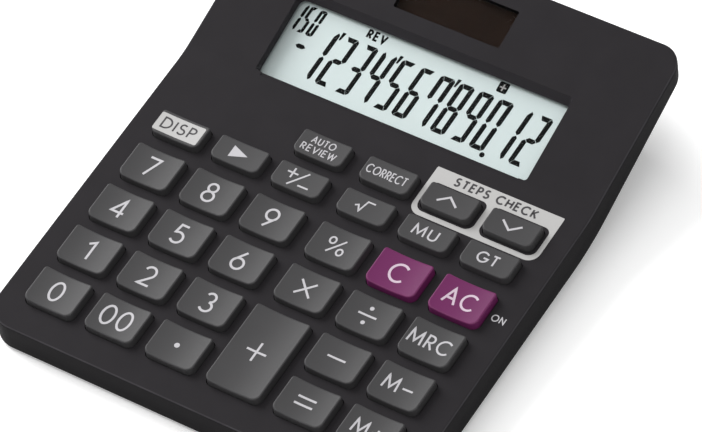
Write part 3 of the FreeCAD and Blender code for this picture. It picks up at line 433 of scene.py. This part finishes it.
# Glyphs drawn as centre lines on a capital height of 1: width, then the lines.
GLYPHS = {
    "0": (0.60, [arc(0.30, 0.50, 0.30, 0.50, 0, 360)]),
    "1": (0.30, [line((0.0, 0.80), (0.30, 1.0), (0.30, 0.0))]),
    "2": (0.60, [arc(0.30, 0.70, 0.28, 0.30, 160, -38) + line((0.02, 0.0), (0.60, 0.0))]),
    "3": (0.56, [arc(0.27, 0.76, 0.23, 0.24, 155, -80), arc(0.27, 0.26, 0.29, 0.26, 85, -150)]),
    "4": (0.64, [line((0.46, 0.0), (0.46, 1.0), (0.0, 0.27), (0.64, 0.27))]),
    "5": (0.56, [line((0.52, 1.0), (0.14, 1.0), (0.06, 0.55)) + arc(0.26, 0.30, 0.30, 0.30, 120, -145)]),
    "6": (0.60, [line((0.46, 1.0), (0.05, 0.45)), arc(0.30, 0.30, 0.30, 0.30, 0, 360)]),
    "7": (0.58, [line((0.0, 1.0), (0.58, 1.0), (0.16, 0.0))]),
    "8": (0.58, [arc(0.29, 0.77, 0.23, 0.23, 0, 360), arc(0.29, 0.27, 0.29, 0.27, 0, 360)]),
    "9": (0.60, [line((0.14, 0.0), (0.55, 0.55)), arc(0.30, 0.70, 0.30, 0.30, 0, 360)]),
    "A": (0.74, [line((0.0, 0.0), (0.37, 1.0), (0.74, 0.0)), line((0.13, 0.34), (0.61, 0.34))]),
    "C": (0.80, [arc(0.47, 0.50, 0.47, 0.50, 45, 315)]),
    "D": (0.68, [line((0.20, 0.0), (0.0, 0.0), (0.0, 1.0)) + arc(0.20, 0.50, 0.48, 0.50, 90, -90)]),
    "E": (0.46, [line((0.46, 1.0), (0.0, 1.0), (0.0, 0.0), (0.46, 0.0)),
                 line((0.0, 0.52), (0.42, 0.52))]),
    "G": (0.92, [arc(0.47, 0.50, 0.47, 0.50, 42, 353) + line((0.54, 0.44))]),
    "H": (0.62, [line((0.0, 0.0), (0.0, 1.0)), line((0.62, 0.0), (0.62, 1.0)),
                 line((0.0, 0.52), (0.62, 0.52))]),
    "I": (0.0, [line((0.0, 0.0), (0.0, 1.0))]),
    "K": (0.56, [line((0.0, 0.0), (0.0, 1.0)), line((0.52, 1.0), (0.0, 0.42)),
                 line((0.16, 0.60), (0.56, 0.0))]),
    "M": (0.86, [line((0.0, 0.0), (0.08, 1.0), (0.43, 0.16), (0.78, 1.0), (0.86, 0.0))]),
    "N": (0.66, [line((0.0, 0.0), (0.0, 1.0), (0.66, 0.0), (0.66, 1.0))]),
    "O": (0.94, [arc(0.47, 0.50, 0.47, 0.50, 0, 360)]),
    "P": (0.46, [line((0.0, 0.0), (0.0, 1.0)) + arc(0.20, 0.74, 0.26, 0.26, 90, -90)
                 + line((0.0, 0.48))]),
    "R": (0.50, [line((0.0, 0.0), (0.0, 1.0)) + arc(0.20, 0.74, 0.26, 0.26, 90, -90) + line((0.0, 0.48)),
                 line((0.18, 0.48), (0.50, 0.0))]),
    "S": (0.50, [arc(0.26, 0.755, 0.22, 0.245, 40, 250) + arc(0.24, 0.26, 0.26, 0.26, 75, -150)]),
    "T": (0.56, [line((0.0, 1.0), (0.56, 1.0)), line((0.28, 1.0), (0.28, 0.0))]),
    "U": (0.60, [line((0.0, 1.0)) + arc(0.30, 0.30, 0.30, 0.30, 180, 360) + line((0.60, 1.0))]),
    "V": (0.68, [line((0.0, 1.0), (0.34, 0.0), (0.68, 1.0))]),
    "W": (0.98, [line((0.0, 1.0), (0.25, 0.0), (0.49, 0.95), (0.73, 0.0), (0.98, 1.0))]),
    "+": (0.66, [line((0.0, 0.44), (0.66, 0.44)), line((0.33, 0.11), (0.33, 0.77))]),
    "-": (0.66, [line((0.0, 0.44), (0.66, 0.44))]),
    " ": (0.22, []),
}
LETTER_GAP = 0.17


def lettering(text, height, stroke, width=None, middle=(0.0, 0.0)):
    """Centre lines of a word, in millimetres, about its middle.

    The height, and the width if one is given, are over the strokes' edges.
    """
    size = height - stroke
    lines = []
    x = 0.0
    for letter in text:
        glyph_width, paths = GLYPHS[letter]
        lines += [[Vector((x + p.x * size, p.y * size)) for p in path] for path in paths]
        x += glyph_width * size + stroke + LETTER_GAP * size
    full = x - stroke - LETTER_GAP * size
    stretch = (width - stroke) / full if width else 1.0
    return [[Vector(((p.x - full / 2) * stretch + middle[0], p.y - size / 2 + middle[1])) for p in path]
            for path in lines]


def divided(path):
    """The same path with its long stretches cut into short ones."""
    points = [path[0]]
    for start, end in zip(path, path[1:]):
        count = max(1, math.ceil((end - start).length / STEP))
        points += [start.lerp(end, i / count) for i in range(1, count + 1)]
    return points


def edges_of(path, width):
    """Left and right edges of a band of constant width about a path, with mitred corners."""
    closed = (path[0] - path[-1]).length < 1e-6
    if closed:
        path = path[:-1]
    count = len(path)
    pairs = []
    for i, point in enumerate(path):
        before = path[i - 1] if i or closed else point
        after = path[(i + 1) % count] if i + 1 < count or closed else point
        ahead = (after - point).normalized() if after != point else (point - before).normalized()
        behind = (point - before).normalized() if before != point else ahead
        normal = Vector((-behind.y - ahead.y, behind.x + ahead.x)).normalized()
        reach = width / 2 / max(0.45, normal.dot(Vector((-ahead.y, ahead.x))))
        pairs.append((point + normal * reach, point - normal * reach))
    if closed:
        pairs.append(pairs[0])
    return pairs


def dot(x, y, radius):
    """A round spot as a band of short columns."""
    columns = [Vector((radius * math.cos(math.radians(a)), radius * math.sin(math.radians(a))))
               for a in range(180, -1, -15)]
    return [(Vector((x + c.x, y + c.y)), Vector((x + c.x, y - c.y))) for c in columns]


def wedge(left, right, half_height, y):
    """A triangle that points to the right, as a band of short columns."""
    count = max(2, math.ceil((right - left) / STEP))
    shares = [i / count for i in range(count + 1)]
    return [(Vector((left + (right - left) * s, y + half_height * (1 - s))),
             Vector((left + (right - left) * s, y - half_height * (1 - s)))) for s in shares]


def ink(name, bands, place, slot, body):
    """Printing as thin solid bands. place(x, y, out) puts a point of the drawing on the object."""
    points = []
    faces = []
    for band in bands:
        start = len(points)
        for left, right in band:
            for side, out in ((left, INK), (right, INK), (right, -SINK), (left, -SINK)):
                points.append(place(side.x, side.y, out))
        for i in range(len(band) - 1):
            here, there = start + 4 * i, start + 4 * (i + 1)
            for a, b in ((0, 1), (1, 2), (2, 3), (3, 0)):
                faces.append((here + a, here + b, there + b, there + a))
        last = start + 4 * (len(band) - 1)
        if (band[0][0] - band[-1][0]).length > 1e-6:
            faces.append((start + 3, start + 2, start + 1, start))
            faces.append((last, last + 1, last + 2, last + 3))
    return add_mesh(name, points, faces, slot, body)


def add_mesh(name, points, faces, slot, body):
    """A new piece from points in the object's frame, with the finish of a slot, riding on a body."""
    mesh = bpy.data.meshes.new(name)
    mesh.from_pydata(points, [], faces)
    mesh.validate()
    mesh.update()
    mesh.materials.append(MATERIALS[slot])
    piece = bpy.data.objects.new(name, mesh)
    bpy.context.scene.collection.objects.link(piece)
    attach(piece, body)
    return piece


def strokes(paths, width):
    return [edges_of(divided(path), width) for path in paths]


# ------------------------------------------------------------- key legends

def sign_legend():
    """Plus, slash and minus."""
    plus = [line((-3.9, 1.1), (-0.7, 1.1)), line((-2.3, -0.5), (-2.3, 2.7))]
    return strokes(plus + [line((-2.1, -2.7), (2.1, 2.6)), line((0.9, -1.9), (4.1, -1.9))], 0.5)


def percent_legend():
    rings = [arc(-1.75, 1.35, 0.85, 1.0, 0, 360), arc(1.75, -1.35, 0.85, 1.0, 0, 360)]
    return strokes(rings + [line((-1.9, -2.4), (1.9, 2.4))], 0.5)


WORD = {  # text, height, stroke and width
    "key_memory_plus": ("M+", 4.6, 0.55, 8.9), "key_memory_minus": ("M-", 4.6, 0.55, 8.9),
    "key_memory_recall": ("MRC", 4.6, 0.55, 12.1), "key_clear": ("C", 6.2, 0.7, 5.0),
    "key_all_clear": ("AC", 5.4, 0.65, 9.2), "key_display": ("DISP", 3.7, 0.5, 10.5),
    "key_mark_up": ("MU", 3.6, 0.5, 7.5), "key_grand_total": ("GT", 3.5, 0.5, 6.3),
    "key_correct": ("CORRECT", 2.8, 0.34, 12.2),
}
DIGIT_SIZE = (6.4, 0.66)
SYMBOLS = {
    "key_point": [dot(0, 0, 0.75)],
    "key_plus": strokes([line((-2.9, 0), (2.9, 0)), line((0, -3.0), (0, 3.0))], 0.62),
    "key_minus": strokes([line((-2.7, 0), (2.7, 0))], 0.58),
    "key_equals": strokes([line((-2.7, 1.1), (2.7, 1.1)), line((-2.7, -1.1), (2.7, -1.1))], 0.62),
    "key_multiply": strokes([line((-2.3, -2.3), (2.3, 2.3)), line((-2.3, 2.3), (2.3, -2.3))], 0.6),
    "key_divide": strokes([line((-2.7, 0), (2.7, 0))], 0.58) + [dot(0, 2.35, 0.6), dot(0, -2.35, 0.6)],
    "key_percent": percent_legend(),
    "key_root": strokes([line((-2.5, -0.5), (-1.6, 0.0), (-0.7, -1.8), (0.3, 1.8), (2.5, 1.8))], 0.45),
    "key_sign": sign_legend(),
    "key_shift_right": [wedge(-2.2, 2.9, 1.9, 0.0)],
    "key_up": strokes([line((-2.9, -1.1), (0, 1.2), (2.9, -1.1))], 0.6),
    "key_down": strokes([line((-2.9, 1.2), (0, -1.1), (2.9, 1.2))], 0.6),
    "key_auto_review": strokes(lettering("AUTO", 2.3, 0.32, 7.3, (0, 1.45))
                               + lettering("REVIEW", 2.3, 0.32, 10.7, (0, -1.45)), 0.32),
}


def legend_of(name):
    """The bands that are printed on a key."""
    if name in SYMBOLS:
        return SYMBOLS[name]
    if name in WORD:
        text, height, stroke, width = WORD[name]
        return strokes(lettering(text, height, stroke, width), stroke)
    height, stroke = DIGIT_SIZE
    return strokes(lettering(name.removeprefix("key_"), height, stroke), stroke)


def patch(half_width, half_depth, radius):
    """A rounded rectangle as a band of columns that are close enough to follow a dish."""
    count = math.ceil(half_width / STEP)
    rounding = [-half_width + radius * (1 - math.cos(math.radians(a))) for a in range(0, 90, 15)]
    between = [-(half_width - radius) * i / count for i in range(count, 0, -1)]
    left = rounding + between
    band = []
    for x in left + [0.0] + [-x for x in reversed(left)]:
        inside = max(0.0, abs(x) - half_width + radius)
        reach = half_depth - radius + math.sqrt(radius ** 2 - inside ** 2)
        band.append((Vector((x, reach)), Vector((x, -reach))))
    return band


def print_legends():
    """One legend on every key, lying in the key's dish, and the pale patch under the display key's."""
    slot = {"key_clear": "legend_pink", "key_all_clear": "legend_pink", "key_display": "legend_dark"}
    ink("display_key_patch", [patch(6.9, 2.95, 0.5)], on_key("key_display", PATCH_SHIFT), "key_patch",
        "key_display")
    for name in sorted(frame["nodes"]):
        if name.startswith("key_") and name != "key_mat":
            lift = INK if name == "key_display" else 0.0
            place = on_key(name, LEGEND_SHIFT, lift)
            ink(f"legend_{name}", legend_of(name), place, slot.get(name, "legend_white"), name)


# -------------------------------------------------------------- panel print

def rounded_outline(low_x, high_x, low_y, high_y, low_radius, high_radius):
    """A rectangle with one radius for its lower corners and another for its upper ones."""
    corners = [(low_x + low_radius, low_y + low_radius, low_radius, 180),
               (high_x - low_radius, low_y + low_radius, low_radius, 270),
               (high_x - high_radius, high_y - high_radius, high_radius, 0),
               (low_x + high_radius, high_y - high_radius, high_radius, 90)]
    return [point for x, y, radius, start in corners
            for point in arc(x, y, radius, radius, start, start + 90)]


def flat_print(name, outlines, plane, out, slot):
    """A flat printed patch from closed outlines, of which the later ones are holes in the first."""
    curve = bpy.data.curves.new(name, "CURVE")
    curve.dimensions = "2D"
    curve.fill_mode = "BOTH"
    curve.extrude = INK * MM / 2
    for outline in outlines:
        spline = curve.splines.new("POLY")
        spline.points.add(len(outline) - 1)
        spline.use_cyclic_u = True
        for spot, point in zip(spline.points, outline):
            spot.co = (point.x * MM, point.y * MM, 0, 1)
    holder = bpy.data.objects.new(name, curve)
    mesh = bpy.data.meshes.new_from_object(holder)
    bpy.data.objects.remove(holder)
    bpy.data.curves.remove(curve)
    base = plane.at(0, 0, out + INK / 2)
    mesh.transform(Matrix((
        (1, plane.up.x, plane.out.x, base.x), (0, plane.up.y, plane.out.y, base.y),
        (0, plane.up.z, plane.out.z, base.z), (0, 0, 0, 1))))
    mesh.name = name
    mesh.materials.clear()
    mesh.materials.append(MATERIALS[slot])
    piece = bpy.data.objects.new(name, mesh)
    bpy.context.scene.collection.objects.link(piece)
    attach(piece, "case")
    return piece


def print_panel():
    """The pale frame round the two step keys with its heading, and the word beside the clear key."""
    left_x, along = key_centre("key_up")
    right_x = key_centre("key_down")[0]
    half_width, half_depth, shift = 8.55, 4.9, 0.15
    windows = [rounded_outline(x + shift - half_width, x + shift + half_width,
                               along + shift - half_depth, along + shift + half_depth, 2.5, 1.9)
               for x in (left_x, right_x)]
    outer = rounded_outline(left_x - half_width - 1.13, right_x + half_width + 1.43,
                            along - half_depth - 1.3, along + half_depth + 5.25, 3.3, 1.1)
    flat_print("step_key_frame", [outer, *windows], KEY_PLANE, 0.0, "panel_print")

    def on_panel(x, y, out):
        return KEY_PLANE.at(x, y, out)

    def on_frame(x, y, out):
        return KEY_PLANE.at(x, y, INK + out)

    heading_stroke, heading_width = 0.55, 25.0
    heading_middle = ((left_x + right_x) / 2, along + half_depth + 2.5)
    heading = lettering("STEPS CHECK", 2.9, heading_stroke, heading_width, heading_middle)
    ink("step_key_heading", strokes(heading, heading_stroke), on_frame, "legend_dark", "case")
    clear_x, clear_along = key_centre("key_all_clear")
    on_stroke = 0.32
    on_word = lettering("ON", 2.2, on_stroke, None, (clear_x + 10.8, clear_along - 0.1))
    ink("on_word", strokes(on_word, on_stroke), on_panel, "legend_white", "case")


# ------------------------------------------------------------ display figures

SEGMENTS = {"0": "abcdef", "1": "bc", "2": "abged", "3": "abgcd", "4": "fgbc", "5": "afgcd",
            "6": "afgecd", "7": "fabc", "8": "abcdefg", "9": "abcdfg"}


def segment_outlines(figure, left, base, width, height, thick, slant):
    """Outlines of a figure's bars. The bars meet at cut corners with thin gaps."""
    cut = 0.45 * thick
    gap = 0.06 * thick
    half = height / 2
    upper = half + gap
    lower = half - gap
    bars = {
        "a": [(cut + gap, height), (width - cut - gap, height), (width - thick, height - thick),
              (thick, height - thick)],
        "d": [(thick, thick), (width - thick, thick), (width - cut - gap, 0), (cut + gap, 0)],
        "g": [(thick * 0.55, half), (thick, half + thick / 2), (width - thick, half + thick / 2),
              (width - thick * 0.55, half), (width - thick, half - thick / 2),
              (thick, half - thick / 2)],
        "b": [(width - cut, height - gap), (width, height - cut - gap), (width, upper + cut),
              (width - cut, upper), (width - thick, half + thick / 2 + gap),
              (width - thick, height - thick - gap)],
        "c": [(width - cut, lower), (width, lower - cut), (width, cut + gap), (width - cut, gap),
              (width - thick, thick + gap), (width - thick, half - thick / 2 - gap)],
    }
    bars["f"] = [(width - x, y) for x, y in reversed(bars["b"])]
    bars["e"] = [(width - x, y) for x, y in reversed(bars["c"])]
    return [[Vector((left + x + slant * y, base + y)) for x, y in bars[bar]] for bar in SEGMENTS[figure]]


def show_figures():
    """The number on the display, the step count, the small words and marks, just over the glass."""
    slant = math.tan(math.radians(5.2))
    pitch, width, height, thick = 6.01, 4.5, 15.6, 1.4
    first_left, base = -33.3, 7.35
    outlines = []
    lefts = [first_left + pitch * i for i in range(12)]
    for figure, left in zip("123456789012", lefts):
        outlines += segment_outlines(figure, left, base, width, height, thick, slant)
    tick = ((0.25, 0.6), (1.3, 0.6), (0.6, -1.9), (0.05, -1.9))
    for i in (0, 3, 6):
        x = lefts[i] + width + slant * height
        outlines.append([Vector((x + dx, base + height + dy)) for dx, dy in tick])
    point_radius = 0.75
    outlines.append(arc(lefts[9] + width + 0.35, base - 0.75, point_radius, point_radius, 0, 345))
    minus = ((-37.6, 15.3), (-36.9, 15.95), (-35.3, 15.95), (-34.5, 15.3), (-35.3, 14.65), (-36.9, 14.65))
    outlines.append([Vector(p) for p in minus])
    small_base, small_width, small_height, small_thick = 18.8, 2.25, 8.3, 0.92
    for figure, left in zip("150", (-42.6, -39.9, -36.9)):
        outlines += segment_outlines(figure, left, small_base, small_width, small_height, small_thick,
                                     slant)
    mark = rounded_outline(19.8, 22.8, 24.4, 27.6, 0.5, 0.5)
    outlines.append(mark)
    points = []
    faces = []
    for outline in outlines:
        start, count = len(points), len(outline)
        points += [DISPLAY_PLANE.at(p.x, p.y, -GLASS_TOP + INK) for p in outline]
        points += [DISPLAY_PLANE.at(p.x, p.y, -GLASS_TOP - SINK) for p in outline]
        faces.append(tuple(range(start, start + count)))
        faces.append(tuple(reversed(range(start + count, start + 2 * count))))
        for i in range(count):
            following = (i + 1) % count
            faces.append((start + i, start + count + i, start + count + following, start + following))
    add_mesh("display_figures", points, faces, "segment_dark", "case")

    def on_glass(x, y, out):
        return DISPLAY_PLANE.at(x, y, -GLASS_TOP + out)

    def on_mark(x, y, out):
        return DISPLAY_PLANE.at(x, y, -GLASS_TOP + INK + out)

    word_stroke, word_width = 0.62, 6.2
    word = lettering("REV", 2.9, word_stroke, word_width, (-17.8, 25.9))
    ink("display_word", strokes(word, word_stroke), on_glass, "segment_dark", "case")
    cross = [line((20.4, 26.0), (22.2, 26.0)), line((21.3, 25.0), (21.3, 27.0))]
    ink("display_mark_cross", strokes(cross, 0.4), on_mark, "panel_print", "case")


# --------------------------------------------------- floor, light and camera

def aimed(name, data, spot, target):
    """An object at a spot, turned to look at a target."""
    thing = bpy.data.objects.new(name, data)
    bpy.context.scene.collection.objects.link(thing)
    thing.location = spot
    thing.rotation_mode = "QUATERNION"
    thing.rotation_quaternion = (Vector(target) - Vector(spot)).to_track_quat("-Z", "Y")
    return thing


def softbox(name, spot, width, height, power):
    light = bpy.data.lights.new(name, "AREA")
    light.shape = "RECTANGLE"
    light.size = width
    light.size_y = height
    light.energy = power
    box = aimed(name, light, spot, (0, 0, 0))
    box.visible_camera = False
    return box


def build_stage():
    """A pale floor that glows faintly, three soft lights and a dim sky."""
    bpy.ops.mesh.primitive_plane_add(size=30)
    floor = bpy.context.object
    floor.name = "floor"
    material, tree, shader, coordinates = new_material("floor_paper")
    fibre = noise(tree, coordinates, 2.0)
    tree.links.new(tint(tree, fibre, (0.93, 0.93, 0.93), 0.01), shader.inputs["Base Color"])
    shader.inputs["Roughness"].default_value = 0.9
    shader.inputs["Specular IOR Level"].default_value = 0.0
    shader.inputs["Emission Color"].default_value = (1, 1, 1, 1)
    shader.inputs["Emission Strength"].default_value = 0.25
    floor.data.materials.append(material)
    floor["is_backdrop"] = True

    softbox("left_softbox", (-0.95, 0.25, 0.72), 0.8, 0.8, 17)
    softbox("top_softbox", (-0.25, -0.15, 1.40), 1.4, 1.4, 11)
    softbox("right_softbox", (0.70, -0.40, 1.10), 1.0, 1.0, 2.5)
    world = bpy.data.worlds.new("sky")
    world.use_nodes = True
    world.node_tree.nodes["Background"].inputs["Color"].default_value = (1, 1, 1, 1)
    world.node_tree.nodes["Background"].inputs["Strength"].default_value = 0.30
    bpy.context.scene.world = world
    bpy.context.scene.view_settings.view_transform = "Standard"


def place_camera():
    """A long lens from above the front right corner, rolled so that the case leans to the left."""
    azimuth, elevation, roll = math.radians(40.05), math.radians(50.41), math.radians(9.94)
    distance = 1.2665
    target = Vector((0.00465, -0.00135, 0.010))
    back = Vector((math.sin(azimuth) * math.cos(elevation), -math.cos(azimuth) * math.cos(elevation),
                   math.sin(elevation)))
    level = Vector((math.cos(azimuth), math.sin(azimuth), 0))
    upright = back.cross(level)
    right = level * math.cos(roll) - upright * math.sin(roll)
    up = level * math.sin(roll) + upright * math.cos(roll)
    data = bpy.data.cameras.new("camera")
    data.lens = 250.2
    data.clip_start = 0.05
    data.clip_end = 50
    camera = bpy.data.objects.new("camera", data)
    bpy.context.scene.collection.objects.link(camera)
    camera.matrix_world = Matrix.Translation(target + back * distance) @ Matrix(
        (right, up, back)).transposed().to_4x4()
    bpy.context.scene.camera = camera


finish_nodes()
print_legends()
print_panel()
show_figures()
build_stage()
place_camera()

boxes = {"cad": CAD_BOX, "visual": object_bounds()}
{name: [list(corner) for corner in box] for name, box in boxes.items()}
